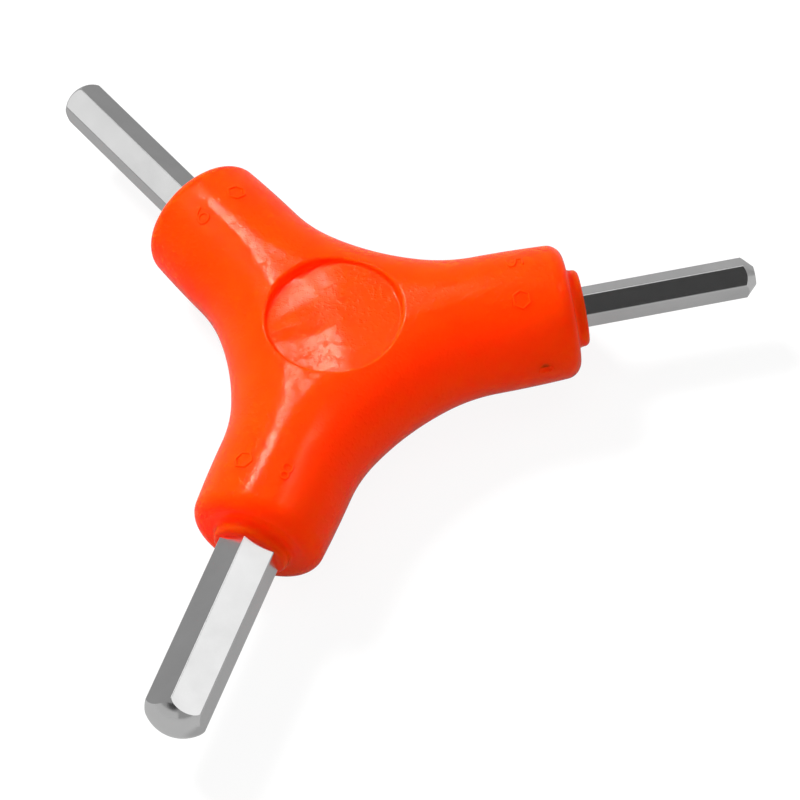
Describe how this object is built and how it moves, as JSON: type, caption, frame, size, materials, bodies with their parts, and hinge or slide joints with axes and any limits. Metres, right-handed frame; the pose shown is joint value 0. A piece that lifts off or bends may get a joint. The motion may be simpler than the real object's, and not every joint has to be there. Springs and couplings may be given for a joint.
{
  "type": "y wrench",
  "caption": "Y-shaped hex key wrench: steel hexagon keys of graded sizes moulded into a rounded three-armed plastic handle with a thumb recess in its hub.",
  "frame": {"origin": "on the flat back of the handle, under the middle of the hub", "axes": "+Z out of the thumb recess, +X along the smallest key; the middle key is 120 degrees and the largest key 240 degrees counterclockwise from it, seen from +Z"},
  "size_m": [0.0932, 0.1097, 0.0194],
  "materials": {
    "orange_plastic": "smooth glossy injection-moulded plastic",
    "plated_steel": "bright plated drawn steel"
  },
  "bodies": {
    "root": {"handle": "orange_plastic", "key_5mm": "plated_steel", "key_6mm": "plated_steel", "key_8mm": "plated_steel"}
  },
  "joints": []
}
